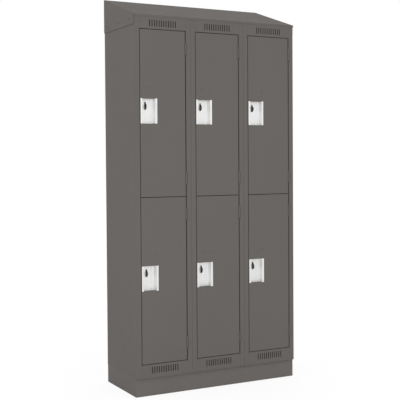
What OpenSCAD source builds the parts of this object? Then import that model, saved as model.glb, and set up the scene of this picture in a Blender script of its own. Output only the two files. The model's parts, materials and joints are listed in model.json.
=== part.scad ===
// Two-tier locker: a bank of three columns with six inset doors, on a closed base, under a sloped hood.
// The front faces -Y, X runs along the bank and Z is up. The origin is the middle of the footprint.

/* [Bank] */
// Width of one column, from one column seam to the next
column_pitch = 304.8; // [290:0.1:330]
// Depth of the body, from the front face to the rear edge
body_depth = 381; // [340:1:460]
// Height of the closed base
base_height = 90; // [70:1:130]
// Height of the body, between the base and the hood
body_height = 1778; // [1650:1:1900]
// Rise of the sloped top, from front to back
hood_rise = 124; // [80:1:180]

/* [Sheet metal] */
// Sheet of the sides, partitions, back, top, bottom and shelves
body_sheet = 1; // [0.8:0.1:1.4]
// Sheet of the stiles and rails
frame_sheet = 1.5; // [1.2:0.1:2]
// Sheet of the door pans
door_sheet = 1.5; // [1.2:0.1:2]
// Sheet of the hood
hood_sheet = 1.5; // [0.9:0.1:1.8]
// Sheet of the base
base_sheet = 1.5; // [1.2:0.1:2]
// Sheet of the recessed pulls
pull_sheet = 1; // [0.8:0.1:1.4]

/* [Front frame] */
// Width of a stile's face
stile_width = 26; // [23:0.5:32]
// Height of the header and footer rails
rail_height = 67; // [58:1:85]
// Room between a closed door and its stop
stop_space = 4; // [3:0.5:6]
// Width of the stop that a door closes against
stop_width = 10; // [8:0.5:14]
// Depth of a stile's outer flange
stile_return = 18; // [12:1:22]
// Open seam between the stiles of two columns
column_seam = 0.4; // [0.2:0.1:1]

/* [Vents] */
// Number of slots in a rail
vent_count = 12; // [6:1:14]
// Spacing of the slots
vent_pitch = 12.7; // [10:0.1:15]
// Width of a slot
vent_width = 4; // [2:0.5:6]
// Height of a slot
vent_height = 32; // [20:1:38]
// Distance of the slots from the door opening
vent_setback = 12; // [8:1:16]

/* [Doors] */
// Gap around a door and between the tiers
door_gap = 3; // [2.5:0.1:5]
// Gap on a door's hinge side
hinge_gap = 5; // [3:0.5:6]
// Depth of the door pan
door_depth = 20; // [16:0.5:24]
// Width of the pan's rear lips
door_lip = 10; // [6:0.5:14]
// Diameter of the number-plate holes
plate_hole_d = 4; // [2:0.1:5]
// Spacing of the number-plate holes
plate_hole_spacing = 45; // [30:1:60]
// Distance of the first hole from the latch edge
plate_hole_inset = 36; // [20:1:60]
// Height of the holes above the pull
plate_hole_rise = 50; // [30:1:90]

/* [Pulls] */
// Width over the pull's lips
pull_width = 89; // [80:1:100]
// Height of the pull
pull_height = 123; // [100:1:150]
// Depth of the recess behind the door face
pull_depth = 22; // [20:1:30]
// Width of the side lips
pull_lip = 9; // [6:0.5:12]
// Run of each sloping side wall
pull_wall_run = 5; // [3:0.5:12]
// Radius at the deep corners
pull_corner = 9; // [5:0.5:12]
// Radius where the lips turn into the walls
pull_edge = 1.5; // [1:0.1:3]
// Distance from the door's latch edge
pull_inset = 1.5; // [1:0.5:6]
// Height of the pull's middle above the door's middle
pull_rise = 12; // [-20:1:40]
// Clearance between the pull's ends and the door
pull_fit = 0.2; // [0.1:0.05:0.5]

/* [Latch] */
// Width of the slot that the lift works in
slot_width = 8; // [5:0.5:10]
// Height of the slot
slot_height = 38; // [32:1:50]
// Distance of the slot below the pull's top
slot_drop = 17; // [10:1:30]
// Distance of the slot from the pull's latch side
slot_inset = 33.5; // [28:0.5:46]
// Upward travel of the lift
lift_travel = 6; // [4:0.5:8]
// Thickness of the lift
lift_sheet = 5; // [3:0.5:6]
// Distance of the lift's tip behind the door face
lift_tip_setback = 8; // [1:0.5:12]
// Depth of the lift's oval tip
lift_tip_radius = 14; // [8:0.5:15]
// Clearance around the lift
lift_clearance = 0.3; // [0.2:0.05:0.6]
// Height of the lift's nose
nose_height = 12; // [8:1:18]
// Distance of the nose from the edge of the stop
nose_setback = 4; // [3.5:0.5:8]
// Gap between the nose and the strike
nose_gap = 0.8; // [0.5:0.1:1.5]
// Sheet of the strike
strike_sheet = 2; // [1.5:0.1:3]
// Height of the strike's foot
strike_height = 34; // [24:1:45]

/* [Hinges] */
// Diameter of the knuckles
knuckle_d = 10; // [8:0.5:11]
// Diameter of the pin
hinge_pin_d = 4; // [3:0.1:5]
// Radial clearance between pin and knuckle
hinge_fit = 0.05; // [0.02:0.01:0.1]
// Length of a hinge
hinge_length = 60; // [45:1:80]
// Distance of a hinge's middle from the door's end
hinge_inset = 88; // [60:1:150]
// Gap between two knuckles
knuckle_gap = 0.3; // [0.2:0.05:0.5]
// Thickness of the leaves
leaf_sheet = 2; // [1.5:0.1:2.5]
// Width of the door leaf, from the pin
door_leaf_width = 24; // [18:1:32]
// Distance of the pin from the middle of the hinge gap, towards the stile
hinge_shift = 2; // [1:0.1:3]
// Distance of the pin's axis behind the front face
hinge_setback = 1; // [0.5:0.1:1.5]

/* [Base] */
// Distance of the base behind the front face
base_recess = 12; // [4:1:30]
// Distance of the base inside each side
base_inset = 0; // [0:1:20]
// Width of the base's flanges
base_flange = 30; // [20:1:45]
// Diameter of the floor anchor holes
floor_hole_d = 10; // [8:0.5:14]
// Distance of the floor anchor holes from the ends of the base
floor_hole_inset = 60; // [30:1:110]

/* [Hood] */
// Drop of the end cap's skirt over the body side
skirt_drop = 47; // [30:1:70]
// Distance of the skirt behind the front face
skirt_setback = 4; // [2:1:25]
// Height of the slope's lip over the front
hood_lip = 9; // [5:1:14]
// Height of the slope's rear flange
hood_flange = 15; // [10:1:25]
// Width of the hem folded back behind the skirt's edges
hood_hem = 12; // [8:1:20]

/* [Back] */
// Distance of the back panel inside the rear edge
back_inset = 3; // [2.5:0.5:8]
// Width of the rear flanges on the sides and partitions
rear_flange = 13; // [10:1:20]
// Diameter of the wall anchor holes
wall_hole_d = 9; // [7:0.5:12]
// Distance of the wall anchor holes below the top
wall_hole_drop = 80; // [40:1:150]

/* [Shelves] */
// Drop of the shelf's front flange below the tier line
shelf_drop = 26; // [15:1:40]
// Rise of the folded edge above the tier line
shelf_rise = 12; // [8:1:20]

/* [Small parts] */
// Diameter of a screw shank
screw_d = 4; // [3:0.1:5]
// Diameter of a screw head
screw_head_d = 8; // [7:0.5:10]
// Height of a screw head
screw_head_height = 2; // [1:0.1:2.4]
// Length of a screw shank
screw_length = 8; // [6:0.5:12]
// Radial clearance of a screw in its hole
screw_fit = 0.1; // [0.05:0.01:0.3]
// Distance of the front skirt screw behind the front face
skirt_screw_inset = 52; // [30:1:100]
// Distance of the skirt screws below the body top
skirt_screw_drop = 20; // [12:1:24]
// Diameter of a door buffer
buffer_d = 6; // [4:0.5:7]
// Gap between a buffer and the closed door
buffer_gap = 0.3; // [0.2:0.05:0.5]
// Distance of a buffer from the door's end
buffer_inset = 60; // [30:1:120]
// Diameter of a hook's prong
prong_d = 5; // [4:0.5:7]
// Diameter of the ball on a prong
ball_d = 9; // [7:0.5:12]
// Length of a prong
prong_length = 26; // [18:1:34]
// Thickness of a hook's plate
hook_plate = 2; // [1.5:0.1:3]
// Distance of the wall hooks below the ceiling
wall_hook_drop = 50; // [40:1:80]
// Length of the ceiling hook's stem
hook_stem = 32; // [26:1:42]

/* [Hidden] */
columns = 3;
tier_names = ["lower", "upper"];
knuckles = 5;
overlap = 1;
paint = [0.42, 0.41, 0.39];
frame_paint = [0.44, 0.43, 0.41];
door_paint = [0.41, 0.4, 0.385];
bright_steel = [0.86, 0.86, 0.85];
zinc = [0.66, 0.67, 0.68];
black_plastic = [0.06, 0.06, 0.06];

bank_width = columns * column_pitch;
hinge_proud = knuckle_d / 2 - hinge_setback;
front_y = -(body_depth - hinge_proud) / 2;
body_bottom = base_height;
body_top = body_bottom + body_height;
opening_bottom = body_bottom + rail_height;
opening_top = body_top - rail_height;
door_height = (opening_top - opening_bottom - 3 * door_gap) / 2;
door_width = column_pitch - 2 * stile_width - door_gap - hinge_gap;
door_x = stile_width + door_gap;
tier_z = opening_bottom + 1.5 * door_gap + door_height;
jamb_depth = door_depth + stop_space;
frame_depth = jamb_depth + frame_sheet;
stop_x = stile_width + stop_width;
back_front = body_depth - back_inset - body_sheet;
interior_rear = back_front - body_sheet;

hinge_x = column_pitch - stile_width - hinge_gap / 2 + hinge_shift;
hinge_room = 0.7;
pin_head_height = 1.2;
pin_head_d = 0.8 * knuckle_d;
leaf_room = 0.2;
notch_half = max(knuckle_d / 2 + hinge_room, hinge_shift + hinge_gap / 2 + door_sheet + leaf_room);
notch_reach = hinge_length / 2 + pin_head_height + hinge_room;
knuckle_length = (hinge_length - (knuckles - 1) * knuckle_gap) / knuckles;
leaf_edge = 2;
frame_leaf_width = column_pitch - body_sheet - frame_sheet - leaf_edge - hinge_x;

pull_x = pull_inset;
pull_z = door_height / 2 + pull_rise - pull_height / 2;
pull_back = pull_depth + pull_sheet;
pull_overlap = pull_lip - pull_edge;
slot_z = pull_height - slot_drop - slot_height;
lift_front = pull_back + lift_clearance;
lift_root = slot_height - lift_travel - 2 * lift_clearance;
lift_flange = 5;
lift_foot = 6;
ledge_top = pull_z + pull_height + pull_fit + door_sheet;
strike_clear = 3;
strike_z = ledge_top + strike_clear + strike_sheet;
nose_z = strike_z + nose_gap;
nose_x = stop_x + nose_setback - door_x;
strike_reach = 10;
strike_edge = 0.5;

slope_angle = atan(hood_rise / body_depth);
slope_sheet_z = hood_sheet / cos(slope_angle);
hood_half = bank_width / 2 + 2 * hood_sheet;
skirt_z = body_top - skirt_drop;
skirt_screw_rear = 40;
back_screw_rows = 6;
back_screw_margin = 60;
back_screw_edge = rear_flange / 2 + body_sheet / 2;
base_back_recess = back_inset;
base_bolt_inset = (base_recess + base_flange + frame_depth) / 2;
wall_hook_width = 18;
wall_hook_height = 36;
ceiling_plate_length = 34;
prong_tilt = 35;
hook_depth = body_depth / 2;

shelf_nodes = [for (c = [1:columns]) str("shelf_", c)];
header_nodes = [for (c = [1:columns]) str("header_", c)];
footer_nodes = [for (c = [1:columns]) str("footer_", c)];
left_stile_nodes = [for (c = [1:columns]) str("stile_", c, "_left")];
right_stile_nodes = [for (c = [1:columns]) str("stile_", c, "_right")];
function per_door(name) = [for (c = [1:columns]) for (t = [0:1]) str(name, "_", c, "_", tier_names[t])];

// Places and small geometry

function column_x(c) = (c - columns / 2) * column_pitch;
function door_z(t) = opening_bottom + door_gap + t * (door_height + door_gap);
function hinge_z(t, end) = door_z(t) + (end == 0 ? hinge_inset : door_height - hinge_inset);
function wall_face(outer) = outer ? body_sheet : body_sheet / 2;
function ceiling_z(t) = t == 1 ? body_top - body_sheet : tier_z - body_sheet / 2;
function slope_z(d) = body_top + hood_rise * d / body_depth;
function unit(v) = v / norm(v);
function right_of(v) = [v[1], -v[0]];

// An arc of radius r that rounds the corner b between a and c
function corner_arc(a, b, c, r, steps) =
    let (
        u = unit(a - b),
        w = unit(c - b),
        half = acos(u * w) / 2,
        centre = b + unit(u + w) * r / sin(half),
        from = b + u * r / tan(half) - centre,
        to = b + w * r / tan(half) - centre,
        start = atan2(from[1], from[0]),
        turn = atan2(from[0] * to[1] - from[1] * to[0], from * to)
    )
    [for (i = [0:steps]) centre + r * [cos(start + turn * i / steps), sin(start + turn * i / steps)]];

// The direction square to a path at point i, on its right-hand side
function path_normal(path, i) =
    let (
        before = i == 0 ? path[1] - path[0] : path[i] - path[i - 1],
        after = i == len(path) - 1 ? path[i] - path[i - 1] : path[i + 1] - path[i]
    )
    unit(right_of(unit(before)) + right_of(unit(after)));

// The outline of a sheet of thickness t that lies on the right-hand side of a path
function sheet_outline(path, t) =
    let (last = len(path) - 1)
    concat(path, [for (i = [last:-1:0]) path[i] + t * path_normal(path, i)]);

module from_front() {
    translate([0, front_y, 0]) children();
}

module in_column(c) {
    translate([column_x(c), front_y, 0]) children();
}

module in_door(c, t) {
    in_column(c) translate([door_x, 0, door_z(t)]) children();
}

module at_doors() {
    for (c = [0:columns - 1])
        for (t = [0:1])
            in_column(c) translate([0, 0, door_z(t)]) children();
}

module at_hinges(c) {
    for (t = [0:1])
        for (end = [0:1])
            translate([hinge_x, hinge_setback, hinge_z(t, end)]) children();
}

// A profile drawn as depth and height, run along X from x0 to x1
module run_along_x(x0, x1) {
    translate([x0, 0, 0]) rotate([90, 0, 90]) linear_extrude(x1 - x0) children();
}

// A box given by two corners
module box(from, to) {
    translate(from) cube(to - from);
}

module hole_along_y(d, x, z, from, to) {
    translate([x, from, z]) rotate([-90, 0, 0]) cylinder(d = d, h = to - from, $fn = 32);
}

// Body panels

module skirt_screw_places() {
    for (i = [0:2])
        translate([
            0,
            skirt_screw_inset + i * (body_depth - skirt_screw_inset - skirt_screw_rear) / 2,
            body_top - skirt_screw_drop
        ])
            children();
}

module skirt_screw_holes() {
    skirt_screw_places()
        rotate([0, 90, 0])
            cylinder(d = screw_d + 2 * screw_fit, h = 4 * (body_sheet + hood_sheet), center = true, $fn = 32);
}

module back_screw_places(edges) {
    for (x = edges)
        for (row = [0:back_screw_rows - 1])
            translate([
                x,
                body_depth - back_inset,
                body_bottom + back_screw_margin
                    + row * (body_height - 2 * back_screw_margin) / (back_screw_rows - 1)
            ])
                children();
}

module back_screw_holes(edges) {
    back_screw_places(edges)
        rotate([90, 0, 0])
            cylinder(d = screw_d + 2 * screw_fit, h = 6 * body_sheet, center = true, $fn = 32);
}

side_screw_x = bank_width / 2 - back_screw_edge;
partition_screw_x = [for (c = [1:columns - 1]) column_x(c) + back_screw_edge - body_sheet / 2];

module side_panel() {
    color(paint) from_front() difference() {
        union() {
            box(
                [-bank_width / 2, frame_sheet, body_bottom],
                [-bank_width / 2 + body_sheet, body_depth, body_top]
            );
            box(
                [-bank_width / 2, interior_rear, body_bottom + body_sheet],
                [-bank_width / 2 + rear_flange, back_front, body_top - body_sheet]
            );
        }
        translate([-bank_width / 2, 0, 0]) skirt_screw_holes();
        back_screw_holes([-side_screw_x]);
    }
}

module partition(c) {
    color(paint) from_front() difference() {
        union() {
            box(
                [column_x(c) - body_sheet / 2, frame_sheet, body_bottom + body_sheet],
                [column_x(c) + body_sheet / 2, back_front, body_top - body_sheet]
            );
            box(
                [column_x(c) - body_sheet / 2, interior_rear, body_bottom + body_sheet],
                [column_x(c) + rear_flange, back_front, body_top - body_sheet]
            );
        }
        back_screw_holes([partition_screw_x[c - 1]]);
    }
}

module back_panel() {
    color(paint) from_front() difference() {
        box(
            [-bank_width / 2 + body_sheet, back_front, body_bottom],
            [bank_width / 2 - body_sheet, back_front + body_sheet, body_top]
        );
        back_screw_holes(concat([-side_screw_x, side_screw_x], partition_screw_x));
        for (c = [0, columns - 1])
            hole_along_y(
                wall_hole_d,
                column_x(c) + column_pitch / 2,
                body_top - wall_hole_drop,
                back_front - overlap,
                back_front + body_sheet + overlap
            );
    }
}

module flat_panel(z) {
    box(
        [-bank_width / 2 + body_sheet, frame_depth, z],
        [bank_width / 2 - body_sheet, back_front, z + body_sheet]
    );
}

module top_panel() {
    color(paint) from_front() flat_panel(body_top - body_sheet);
}

module base_bolt_places() {
    for (c = [0:columns - 1])
        for (d = [base_bolt_inset, body_depth - base_back_recess - base_flange / 2])
            translate([column_x(c) + column_pitch / 2, d, body_bottom + body_sheet]) children();
}

module base_bolt_holes() {
    base_bolt_places()
        cylinder(d = screw_d + 2 * screw_fit, h = 3 * (body_sheet + base_sheet), center = true, $fn = 32);
}

module bottom_panel() {
    color(paint) from_front() difference() {
        flat_panel(body_bottom);
        base_bolt_holes();
    }
}

module shelf(c) {
    left = wall_face(c == 0);
    right = column_pitch - wall_face(c == columns - 1);
    color(paint) in_column(c) {
        box(
            [left, frame_depth, tier_z - body_sheet / 2],
            [right, interior_rear, tier_z + body_sheet / 2]
        );
        box(
            [stop_x, jamb_depth, tier_z - body_sheet / 2],
            [column_pitch - stop_x, frame_depth + overlap, tier_z + body_sheet / 2]
        );
        box(
            [stop_x, jamb_depth, tier_z - shelf_drop],
            [column_pitch - stop_x, frame_depth, tier_z + shelf_rise]
        );
    }
}

// Front frame

module stile_profile(outer) {
    edge = outer ? 0 : column_seam / 2;
    translate([edge, 0]) square([stile_width - edge, frame_sheet]);
    translate([wall_face(outer), 0]) square([frame_sheet, stile_return]);
    translate([stile_width - frame_sheet, 0]) square([frame_sheet, frame_depth]);
    translate([stile_width - frame_sheet, jamb_depth]) square([frame_sheet + stop_width, frame_sheet]);
}

module hinge_notch() {
    box([-notch_half, -notch_half, -notch_reach], [notch_half, notch_half, notch_reach]);
}

module left_stile(c) {
    color(frame_paint) in_column(c)
        translate([0, 0, body_bottom])
            linear_extrude(body_height) stile_profile(c == 0);
}

module right_stile(c) {
    color(frame_paint) in_column(c) difference() {
        translate([column_pitch, 0, body_bottom])
            mirror([1, 0, 0])
                linear_extrude(body_height) stile_profile(c == columns - 1);
        at_hinges(c) hinge_notch();
    }
}

// A footer, drawn from the body's edge at z = 0 up to the door opening
module rail() {
    difference() {
        union() {
            box([stile_width, 0, 0], [column_pitch - stile_width, frame_sheet, rail_height]);
            for (z = [0, rail_height - frame_sheet])
                box([stile_width, 0, z], [column_pitch - stile_width, jamb_depth, z + frame_sheet]);
            box([stop_x, jamb_depth, 0], [column_pitch - stop_x, frame_depth, frame_sheet]);
            box(
                [stop_x, jamb_depth, rail_height - frame_sheet],
                [column_pitch - stop_x, frame_depth, rail_height + stop_width]
            );
        }
        for (i = [0:vent_count - 1])
            translate([
                column_pitch / 2 + (i - (vent_count - 1) / 2) * vent_pitch - vent_width / 2,
                -overlap,
                rail_height - vent_setback - vent_height
            ])
                cube([vent_width, frame_sheet + 2 * overlap, vent_height]);
    }
}

module footer(c) {
    color(frame_paint) in_column(c) translate([0, 0, body_bottom]) rail();
}

module header(c) {
    color(frame_paint) in_column(c) translate([0, 0, body_top]) mirror([0, 0, 1]) rail();
}

// Hood

module slope_sheet() {
    color(paint) from_front() {
        run_along_x(-hood_half, hood_half)
            polygon([
                [-hood_sheet, body_top - hood_lip],
                [0, body_top - hood_lip],
                [0, slope_z(0)],
                [body_depth, slope_z(body_depth)],
                [body_depth, slope_z(body_depth) + slope_sheet_z],
                [-hood_sheet, slope_z(-hood_sheet) + slope_sheet_z]
            ]);
        run_along_x(-bank_width / 2, bank_width / 2)
            polygon([
                [body_depth - hood_sheet, slope_z(body_depth) - hood_flange],
                [body_depth, slope_z(body_depth) - hood_flange],
                [body_depth, slope_z(body_depth) + slope_sheet_z / 2],
                [body_depth - hood_sheet, slope_z(body_depth - hood_sheet) + slope_sheet_z / 2]
            ]);
    }
}

// An end cap, whose skirt laps the body side on a folded hem
module hood_end() {
    inner = hood_half - hood_sheet;
    color(paint) from_front() difference() {
        union() {
            run_along_x(-hood_half, -inner)
                polygon([
                    [skirt_setback, skirt_z],
                    [body_depth, skirt_z],
                    [body_depth, slope_z(body_depth)],
                    [0, slope_z(0)],
                    [skirt_setback, body_top]
                ]);
            run_along_x(-inner, -bank_width / 2)
                polygon([
                    [skirt_setback, skirt_z],
                    [body_depth, skirt_z],
                    [body_depth, skirt_z + hood_hem],
                    [skirt_setback + hood_hem, skirt_z + hood_hem],
                    [skirt_setback + hood_hem, body_top],
                    [skirt_setback, body_top]
                ]);
        }
        translate([-bank_width / 2, 0, 0]) skirt_screw_holes();
    }
}

module hood_back() {
    rear = body_depth - hood_sheet;
    color(paint) from_front() run_along_x(-bank_width / 2, bank_width / 2)
        polygon([
            [rear - hood_flange, body_top],
            [rear, body_top],
            [rear, slope_z(rear)],
            [rear - hood_sheet, slope_z(rear - hood_sheet)],
            [rear - hood_sheet, body_top + hood_sheet],
            [rear - hood_flange, body_top + hood_sheet]
        ]);
}

// Closed base

module base_channel_profile() {
    difference() {
        square([base_flange, base_height]);
        translate([base_sheet, base_sheet]) square([base_flange, base_height - 2 * base_sheet]);
    }
}

base_half = bank_width / 2 - base_inset;

module floor_holes(d) {
    for (side = [-1, 1])
        translate([side * (base_half - floor_hole_inset), d, -overlap])
            cylinder(d = floor_hole_d, h = base_sheet + 2 * overlap, $fn = 48);
}

module base_front() {
    color(paint) from_front() difference() {
        run_along_x(-base_half, base_half) translate([base_recess, 0]) base_channel_profile();
        floor_holes(base_recess + base_flange / 2);
        base_bolt_holes();
    }
}

module base_back() {
    color(paint) from_front() difference() {
        run_along_x(-base_half, base_half)
            translate([body_depth - base_back_recess, 0]) mirror([1, 0]) base_channel_profile();
        floor_holes(body_depth - base_back_recess - base_flange / 2);
        base_bolt_holes();
    }
}

module base_end() {
    front = base_recess + base_flange;
    rear = body_depth - base_back_recess - base_flange;
    color(paint) from_front() {
        translate([-base_half, rear, 0]) rotate([90, 0, 0])
            linear_extrude(rear - front) base_channel_profile();
        box(
            [-base_half, base_recess + base_sheet, base_sheet],
            [-base_half + base_sheet, body_depth - base_back_recess - base_sheet, base_height - base_sheet]
        );
    }
}

// Doors

module door(c, t) {
    opening_left = pull_x + pull_overlap;
    opening_right = pull_x + pull_width - pull_overlap;
    opening_low = pull_z - pull_fit;
    opening_high = pull_z + pull_height + pull_fit;
    color(door_paint) in_door(c, t) difference() {
        union() {
            difference() {
                door_pan();
                box([opening_left, -overlap, opening_low], [opening_right, door_depth + overlap, opening_high]);
            }
            box([opening_left, 0, opening_low - door_sheet], [opening_right, pull_back, opening_low]);
            box([opening_left, 0, opening_high], [opening_right, pull_back, opening_high + door_sheet]);
            translate([pull_x + slot_inset, 0, opening_high]) guide_strap();
        }
        translate([-door_x, 0, -door_z(t)]) at_hinges(c) hinge_notch();
        for (i = [0:1])
            hole_along_y(
                plate_hole_d,
                plate_hole_inset + i * plate_hole_spacing,
                pull_z + pull_height + plate_hole_rise,
                -overlap,
                door_sheet + overlap
            );
    }
}

// A strap across the lift's back, on the ledge above the pull
module guide_strap() {
    half = slot_width / 2 + lift_flange + 2 * lift_clearance;
    rear = lift_rear + lift_clearance;
    difference() {
        box([-half - door_sheet, pull_back - overlap, 0], [half + door_sheet, rear + door_sheet, door_sheet]);
        box([-half, pull_back, -overlap], [half, rear, door_sheet + overlap]);
    }
}

module door_pan() {
    difference() {
        cube([door_width, door_depth, door_height]);
        box(
            [door_sheet, door_sheet, door_sheet],
            [door_width - door_sheet, door_depth - door_sheet, door_height - door_sheet]
        );
        box(
            [door_lip, door_sheet, door_sheet],
            [door_width - door_lip, door_depth + overlap, door_height - door_sheet]
        );
    }
}

// Recessed pulls

pull_corners = [
    [0, 0],
    [pull_lip, 0],
    [pull_lip + pull_wall_run, pull_back],
    [pull_width - pull_lip - pull_wall_run, pull_back],
    [pull_width - pull_lip, 0],
    [pull_width, 0]
];
pull_path = concat(
    [pull_corners[0]],
    corner_arc(pull_corners[0], pull_corners[1], pull_corners[2], pull_edge, 4),
    corner_arc(pull_corners[1], pull_corners[2], pull_corners[3], pull_corner, 10),
    corner_arc(pull_corners[2], pull_corners[3], pull_corners[4], pull_corner, 10),
    corner_arc(pull_corners[3], pull_corners[4], pull_corners[5], pull_edge, 4),
    [pull_corners[5]]
);

module in_pull(c, t) {
    in_door(c, t) translate([pull_x, 0, pull_z]) children();
}

module pull(c, t) {
    color(bright_steel) in_pull(c, t) difference() {
        linear_extrude(pull_height) polygon(sheet_outline(pull_path, pull_sheet));
        box(
            [slot_inset - slot_width / 2, pull_depth - overlap, slot_z],
            [slot_inset + slot_width / 2, pull_back + overlap, slot_z + slot_height]
        );
    }
}

// Finger lifts and strikes

lift_low = slot_z + lift_clearance;
lift_high = lift_low + lift_root;
lift_tip_d = lift_tip_setback + lift_tip_radius;
lift_rear = lift_front + lift_sheet;

// A tab whose tip is half an oval, as high as the tab's root, on a plate with a nose over the strike
module lift(c, t) {
    nose_low = nose_z - pull_z;
    tip = [lift_tip_radius, lift_root / 2];
    color(black_plastic) in_pull(c, t) {
        run_along_x(slot_inset - lift_sheet / 2, slot_inset + lift_sheet / 2)
            polygon(concat(
                [[lift_rear, lift_low]],
                [for (a = [-90:-15:-270]) [lift_tip_d + tip[0] * cos(a), lift_low + tip[1] * (1 + sin(a))]],
                [[lift_rear, lift_high]]
            ));
        box(
            [slot_inset - slot_width / 2 - lift_flange, lift_front, slot_z - lift_foot],
            [slot_inset + slot_width / 2 + lift_flange, lift_rear, nose_low + nose_height]
        );
        box(
            [nose_x - pull_x, lift_front, nose_low],
            [slot_inset + slot_width / 2 + lift_flange, lift_rear, nose_low + nose_height]
        );
    }
}

module strikes() {
    tongue_rear = lift_rear + nose_setback;
    color(zinc) at_doors() {
        box(
            [stile_width + strike_edge, frame_depth, strike_z - strike_height],
            [stop_x - strike_edge, frame_depth + strike_sheet, strike_z]
        );
        box(
            [stile_width + strike_edge, frame_depth, strike_z - strike_sheet],
            [stop_x + nose_setback + strike_reach, tongue_rear, strike_z]
        );
    }
}

// Hinges

module knuckle(i) {
    translate([0, 0, -hinge_length / 2 + i * (knuckle_length + knuckle_gap)])
        cylinder(d = knuckle_d, h = knuckle_length, $fn = 48);
}

module leaf_bridge(i) {
    translate([0, 0, -hinge_length / 2 + i * (knuckle_length + knuckle_gap)])
        cube([notch_half + hinge_room, leaf_sheet, knuckle_length]);
}

// A leaf with its knuckles on the pin's axis, running towards +X behind a sheet
module hinge_leaf(first, sheet, width) {
    leaf_d = sheet - hinge_setback;
    difference() {
        union() {
            for (i = [first:2:knuckles - 1]) {
                knuckle(i);
                translate([0, leaf_d, 0]) leaf_bridge(i);
            }
            translate([notch_half, leaf_d, -hinge_length / 2])
                cube([width - notch_half, leaf_sheet, hinge_length]);
        }
        cylinder(d = hinge_pin_d + 2 * hinge_fit, h = hinge_length + 2 * overlap, center = true, $fn = 48);
    }
}

module frame_hinge_leaves() {
    color(frame_paint)
        for (c = [0:columns - 1])
            in_column(c) at_hinges(c) hinge_leaf(0, frame_sheet, frame_leaf_width);
}

module door_hinge_leaves(c, t) {
    color(door_paint) in_column(c)
        for (end = [0:1])
            translate([hinge_x, hinge_setback, hinge_z(t, end)])
                mirror([1, 0, 0]) hinge_leaf(1, door_sheet, door_leaf_width);
}

module hinge_pins() {
    color(zinc)
        for (c = [0:columns - 1])
            in_column(c) at_hinges(c) {
                translate([0, 0, -hinge_length / 2 - pin_head_height / 2])
                    cylinder(d = hinge_pin_d, h = hinge_length + pin_head_height, $fn = 48);
                translate([0, 0, hinge_length / 2])
                    cylinder(d = pin_head_d, h = pin_head_height, $fn = 48);
            }
}

// Small parts

module door_buffers() {
    color("black") at_doors()
        for (z = [buffer_inset, door_height - buffer_inset])
            hole_along_y(
                buffer_d,
                stile_width + door_gap + buffer_d / 2,
                z,
                door_depth + buffer_gap,
                jamb_depth
            );
}

module prong() {
    rotate([0, 90 - prong_tilt, 0]) {
        cylinder(d = prong_d, h = prong_length, $fn = 24);
        translate([0, 0, prong_length]) sphere(d = ball_d, $fn = 16);
    }
}

// A hook whose prong is cut off flush behind its plate
module wall_hook() {
    half = [wall_hook_width / 2, wall_hook_height / 2];
    box([0, -half[0], -half[1]], [hook_plate, half[0], half[1]]);
    difference() {
        translate([hook_plate / 2, 0, -half[1] / 2]) prong();
        box([-prong_d, -half[0], -half[1]], [0, half[0], half[1]]);
    }
}

module ceiling_hook() {
    box(
        [-ceiling_plate_length / 2, -wall_hook_width / 2, -hook_plate],
        [ceiling_plate_length / 2, wall_hook_width / 2, 0]
    );
    translate([0, 0, -hook_stem - prong_d / 2])
        cylinder(d = prong_d, h = hook_stem + prong_d / 2 - hook_plate / 2, $fn = 24);
    for (turn = [0, 180])
        translate([0, 0, -hook_stem]) rotate([0, 0, turn]) prong();
}

module coat_hooks() {
    color(zinc)
        for (c = [0:columns - 1])
            for (t = [0:1])
                in_column(c) translate([0, hook_depth, ceiling_z(t)]) {
                    translate([column_pitch / 2, 0, 0]) ceiling_hook();
                    translate([wall_face(c == 0), 0, -wall_hook_drop]) wall_hook();
                    translate([column_pitch - wall_face(c == columns - 1), 0, -wall_hook_drop])
                        rotate([0, 0, 180]) wall_hook();
                }
}

// A screw whose head sits on z = 0, with its shank below
module screw() {
    cylinder(d1 = screw_head_d, d2 = 0.6 * screw_head_d, h = screw_head_height, $fn = 32);
    translate([0, 0, -screw_length]) cylinder(d = screw_d, h = screw_length + screw_head_height / 2, $fn = 32);
}

module screws() {
    color(paint) from_front() {
        for (side = [0, 1])
            mirror([side, 0, 0])
                translate([-hood_half, 0, 0])
                    skirt_screw_places() rotate([0, -90, 0]) screw();
        back_screw_places(concat([-side_screw_x, side_screw_x], partition_screw_x)) rotate([-90, 0, 0]) screw();
        base_bolt_places() screw();
    }
}

for (c = [0:columns - 1]) {
    left_stile(c);
    right_stile(c);
    header(c);
    footer(c);
    shelf(c);
    for (t = [0:1]) {
        door(c, t);
        pull(c, t);
        lift(c, t);
        door_hinge_leaves(c, t);
    }
}
side_panel();  // side_panel_left
mirror([1, 0, 0]) side_panel();  // side_panel_right
partition(1);  // partition_left
partition(2);  // partition_right
back_panel();
top_panel();
bottom_panel();
slope_sheet();
hood_end();  // hood_end_left
mirror([1, 0, 0]) hood_end();  // hood_end_right
hood_back();
base_front();
base_back();
base_end();  // base_end_left
mirror([1, 0, 0]) base_end();  // base_end_right
frame_hinge_leaves();
hinge_pins();
strikes();
door_buffers();
coat_hooks();
screws();
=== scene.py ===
"""Looks of the two-tier locker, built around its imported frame.

Lengths are in metres. The front of the locker faces -Y, +X runs along the bank and Z is up.
Each piece takes its place from the frame, so a resized locker is dressed the same way.
"""

import json
import math

import bmesh
import bpy
import numpy as np
from bpy.props import FloatProperty, FloatVectorProperty, PointerProperty
from mathutils import Matrix, Vector

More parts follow.
